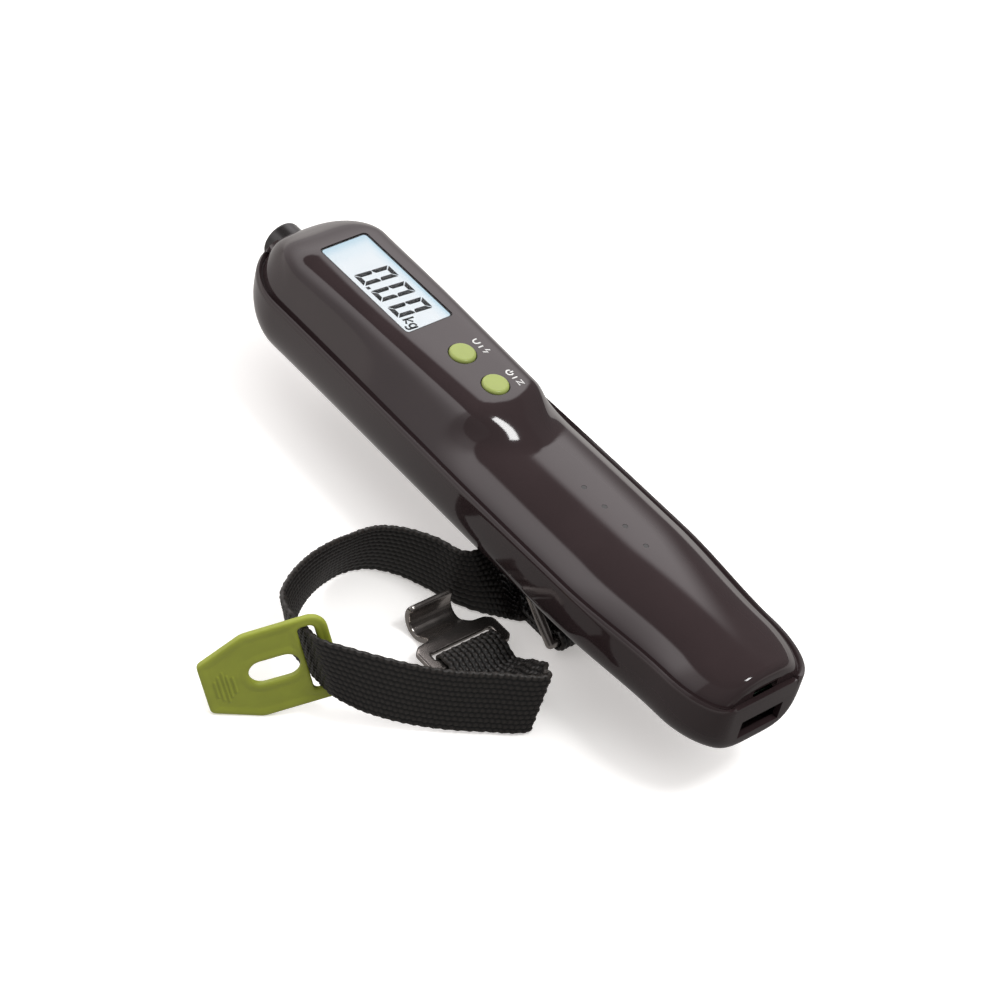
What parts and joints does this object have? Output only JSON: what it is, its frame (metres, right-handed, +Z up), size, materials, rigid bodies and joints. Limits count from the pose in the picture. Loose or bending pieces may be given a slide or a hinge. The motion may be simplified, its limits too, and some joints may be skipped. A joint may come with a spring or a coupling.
{
  "type": "digital luggage scale",
  "caption": "Hand-held digital luggage scale: a slim two-shell handle with a display head, a webbing strap on a steel bail, a pull tab, a steel hook and USB sockets.",
  "frame": {"origin": "on the surface the scale lies on, straight below the load eye in the middle of the boss", "axes": "+X along the handle towards the USB end, +Y towards the side without the strap loop, +Z up through the display"},
  "size_m": [0.1809, 0.1161, 0.0455],
  "materials": {
    "shell_plastic": "high gloss",
    "window_clear": "clear",
    "lcd": "clear",
    "backlight": "satin",
    "frame_plastic": "satin",
    "contact_rubber": "matt",
    "circuit_board": "satin",
    "chip": "matt",
    "switch": "matt",
    "key_green": "satin",
    "cell_alloy": "milled",
    "steel": "polished",
    "gauge_foil": "satin",
    "webbing": "coarse weave",
    "tab_rubber": "soft satin",
    "battery_wrap": "foil pouch",
    "foam": "foam",
    "socket_steel": "bright",
    "socket_plastic": "matt",
    "guide_clear": "clear",
    "led": "clear",
    "bezel": "high gloss",
    "lens": "clear",
    "reflector": "mirror"
  },
  "bodies": {
    "handle": {"upper_shell": "shell_plastic", "lower_shell": "shell_plastic", "case_screws": "steel", "boss_collar": "shell_plastic", "display_window": "window_clear", "lcd_glass": "lcd", "lcd_backlight": "backlight", "lcd_contact_strip": "contact_rubber", "lcd_frame": "frame_plastic", "main_board": "circuit_board", "controller_chip": "chip", "tact_switches": "switch", "load_cell": "cell_alloy", "load_cell_screws": "steel", "strain_gauges": "gauge_foil", "load_eye": "steel", "load_eye_nut": "steel", "strap_foot": "webbing", "strap_far_side": "webbing", "strap_at_tab": "webbing", "strap_near_side": "webbing", "strap_return": "webbing", "battery_cell": "battery_wrap", "battery_pads": "foam", "power_board": "circuit_board", "power_parts": "chip", "usb_output_shell": "socket_steel", "usb_output_tongue": "socket_plastic", "micro_usb_shell": "socket_steel", "micro_usb_tongue": "socket_plastic", "charge_led_board": "circuit_board", "charge_leds": "led", "charge_light_guides": "guide_clear", "torch_bezel": "bezel", "torch_lens": "lens", "torch_reflector": "reflector", "torch_led": "led"},
    "button_unit": {"button_unit": "key_green"},
    "button_power": {"button_power": "key_green"},
    "bail": {"bail": "steel", "strap_bail_loop": "webbing"},
    "hook": {"hook_plate": "steel", "strap_hook_loop": "webbing"},
    "pull_tab": {"pull_tab": "tab_rubber"}
  },
  "joints": [
    {"name": "unit_press", "type": "slide", "parent": "handle", "child": "button_unit", "axis": [0, 0, -1], "range_m": [0, 0.0007], "stiffness_N_per_m": 300},
    {"name": "power_press", "type": "slide", "parent": "handle", "child": "button_power", "axis": [0, 0, -1], "range_m": [0, 0.0007], "stiffness_N_per_m": 300},
    {"name": "bail_swing", "type": "hinge", "parent": "handle", "child": "bail", "pos_m": [0, 0, 0.011], "axis": [0, 1, 0], "range_deg": [-36, 0]},
    {"name": "hook_lift", "type": "hinge", "parent": "handle", "child": "hook", "pos_m": [0.008, -0.0302, 0.0036], "axis": [0, 1, 0], "range_deg": [0, 75]},
    {"name": "tab_slide", "type": "slide", "parent": "handle", "child": "pull_tab", "axis": [1, 0, 0], "range_m": [-0.003, 0.0015]}
  ]
}
